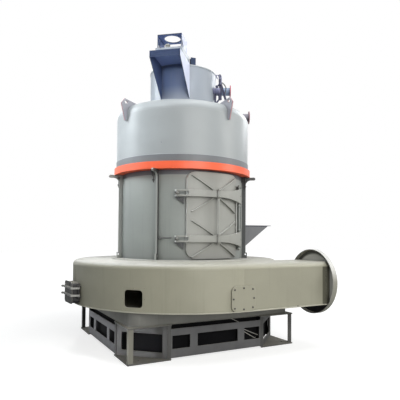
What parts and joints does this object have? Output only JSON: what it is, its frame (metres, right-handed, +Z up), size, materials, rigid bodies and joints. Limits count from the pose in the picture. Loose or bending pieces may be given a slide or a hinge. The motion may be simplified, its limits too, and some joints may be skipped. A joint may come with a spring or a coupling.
{
  "type": "vertical roller grinding mill housing",
  "caption": "Round roller grinding mill on a welded base, with a spiral air box and inlet duct, hinged access door, clamp ring, domed hood and separator drum.",
  "frame": {"origin": "on the mill's vertical axis at floor level, centre of the four anchor bolts", "axes": "+Z up, +X along the inlet duct towards its flange, -Y towards the access door"},
  "size_m": [3.5201, 3.662, 4.7],
  "materials": {
    "base_paint": "matt dark grey machinery enamel",
    "box_paint": "semi-gloss warm grey machinery enamel",
    "casing_paint": "semi-gloss grey machinery enamel",
    "ring_paint": "semi-gloss orange enamel",
    "hood_paint": "semi-gloss light grey machinery enamel",
    "flange_paint": "grey enamel with a red flange",
    "dark_paint": "dark blue-grey enamel"
  },
  "bodies": {
    "frame": {"foot_plates": "base_paint", "stand_posts": "base_paint", "corner_panels": "base_paint", "side_panel_front": "base_paint", "side_panel_back": "base_paint", "side_panel_left": "base_paint", "side_panel_right": "base_paint", "base_plate": "base_paint", "pit_screen": "base_paint", "skirt": "box_paint", "volute_floor": "box_paint", "volute_wall_front_left": "box_paint", "volute_wall_back_left": "box_paint", "volute_wall_back_right": "box_paint", "volute_wall_front_right": "box_paint", "volute_roof": "box_paint", "inlet_duct_walls": "box_paint", "inlet_flange": "box_paint", "inspection_cover": "box_paint", "hatch_frame": "box_paint", "hatch_hinge": "box_paint", "casing_foot_ring": "casing_paint", "casing_below_door": "casing_paint", "casing_above_door": "casing_paint", "casing_left": "casing_paint", "casing_back": "casing_paint", "casing_right": "casing_paint", "casing_ribs": "casing_paint", "door_frame": "casing_paint", "door_hinge": "casing_paint", "door_latches": "casing_paint", "feed_hopper": "casing_paint", "clamp_ring": "ring_paint", "hood_band": "hood_paint", "hood_shell": "hood_paint", "hood_roof": "hood_paint", "lifting_ears": "hood_paint", "hood_stub": "flange_paint", "separator_drum": "hood_paint", "drum_roof": "hood_paint", "outlet_hood": "dark_paint", "bearing_box": "hood_paint", "motor_stand": "dark_paint", "roof_bracket": "dark_paint", "side_pipe": "flange_paint", "side_actuator": "dark_paint"},
    "main_door": {"door_panel": "casing_paint", "door_arms": "casing_paint"},
    "side_hatch": {"hatch_door": "box_paint"}
  },
  "joints": [
    {"name": "main_door_hinge", "type": "hinge", "parent": "frame", "child": "main_door", "pos_m": [0.51762, -0.95357, 1.9], "axis": [0, 0, 1], "range_deg": [0, 110]},
    {"name": "side_hatch_hinge", "type": "hinge", "parent": "frame", "child": "side_hatch", "pos_m": [-1.76074, -0.31859, 0.83], "axis": [0, 0, 1], "range_deg": [0, 100]}
  ]
}
